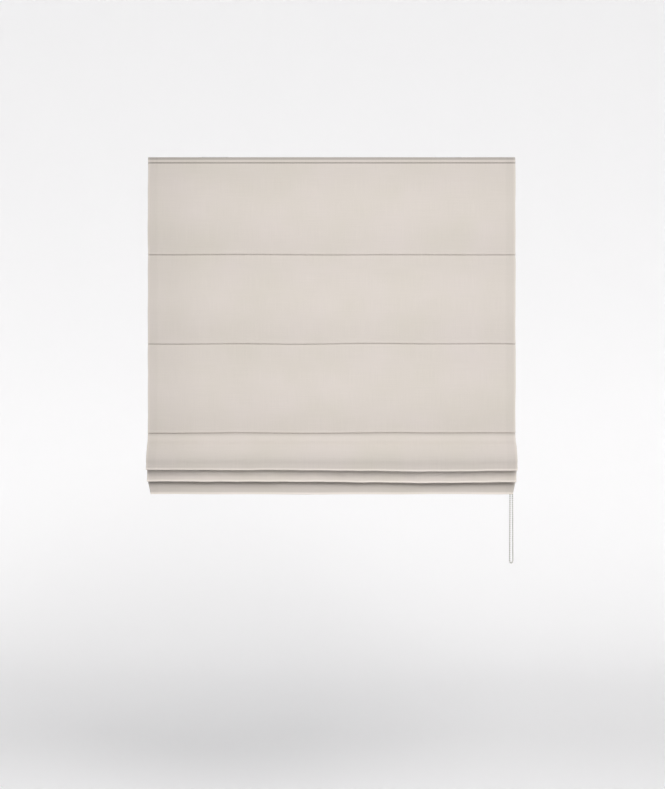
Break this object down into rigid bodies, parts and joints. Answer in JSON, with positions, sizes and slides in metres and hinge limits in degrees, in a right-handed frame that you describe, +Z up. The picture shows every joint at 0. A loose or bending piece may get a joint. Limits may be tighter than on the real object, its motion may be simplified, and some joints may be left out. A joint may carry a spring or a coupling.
{
  "type": "roman blind",
  "caption": "Lined roman blind on a chain-driven headrail, partly raised so that its lower panels gather in two soft folds above the hem.",
  "frame": {"origin": "centre of the line of screw holes in the two bracket plates, on the face that meets the soffit", "axes": "+X along the headrail towards the chain, +Y away from the room towards the window, +Z up"},
  "size_m": [1.1, 0.1022, 1.2235],
  "materials": {
    "face_cloth": "plain weave, matt",
    "lining_cloth": "sateen, matt",
    "tape": "hook and loop",
    "cord": "braided",
    "white_rail": "white powder coat",
    "steel": "zinc plated",
    "nickel": "nickel plated",
    "alloy": "mill finish",
    "white_plastic": "moulded",
    "clear_plastic": "moulded",
    "glass_fibre": "pultruded"
  },
  "bodies": {
    "hanging_part": {"face_fabric": "face_cloth", "lining": "lining_cloth", "loop_tape": "tape", "hook_tape": "tape", "headrail": "white_rail", "left_end_cap": "white_plastic", "drive_housing": "white_plastic", "drive_cover": "white_plastic", "left_bracket": "steel", "right_bracket": "steel", "cam_rivets": "steel", "left_cradle": "white_plastic", "middle_cradle": "white_plastic", "right_cradle": "white_plastic", "lift_cords": "cord", "ball_chain": "nickel", "chain_joiner": "nickel", "rod_1": "glass_fibre", "rod_2": "glass_fibre", "rod_3": "glass_fibre", "rod_1_guides": "clear_plastic", "rod_2_guides": "clear_plastic", "rod_3_guides": "clear_plastic"},
    "fourth_rod": {"rod_4": "glass_fibre", "rod_4_guides": "clear_plastic"},
    "fifth_rod": {"rod_5": "glass_fibre", "rod_5_guides": "clear_plastic", "bottom_bar": "alloy", "bar_end_caps": "white_plastic"},
    "drive": {"drive_shaft": "alloy", "left_spool": "white_plastic", "middle_spool": "white_plastic", "right_spool": "white_plastic", "wound_cords": "cord", "chain_wheel": "white_plastic"},
    "left_cam": {"left_cam": "white_plastic"},
    "right_cam": {"right_cam": "white_plastic"}
  },
  "joints": [
    {"name": "lift", "type": "slide", "parent": "hanging_part", "child": "fourth_rod", "axis": [0, 0, 1], "range_m": [-0.225, 0], "deforming": ["face_fabric", "lining", "lift_cords"]},
    {"name": "lower_fold", "type": "slide", "parent": "fourth_rod", "child": "fifth_rod", "axis": [0, 0, 1], "range_m": [-0.225, 0]},
    {"name": "drive_turn", "type": "hinge", "parent": "hanging_part", "child": "drive", "pos_m": [0, 0.0044, -0.0194], "axis": [1, 0, 0], "range_deg": [0, 2864.8], "deforming": ["ball_chain"]},
    {"name": "left_cam_turn", "type": "hinge", "parent": "hanging_part", "child": "left_cam", "pos_m": [-0.35, 0, -0.005], "axis": [0, 0, 1], "range_deg": [0, 90]},
    {"name": "right_cam_turn", "type": "hinge", "parent": "hanging_part", "child": "right_cam", "pos_m": [0.35, 0, -0.005], "axis": [0, 0, 1], "range_deg": [0, 90]}
  ],
  "couplings": [
    {"joint": "lower_fold", "follows": "lift", "ratio": 1},
    {"joint": "drive_turn", "follows": "lift", "rad_per_m": -222.22}
  ]
}
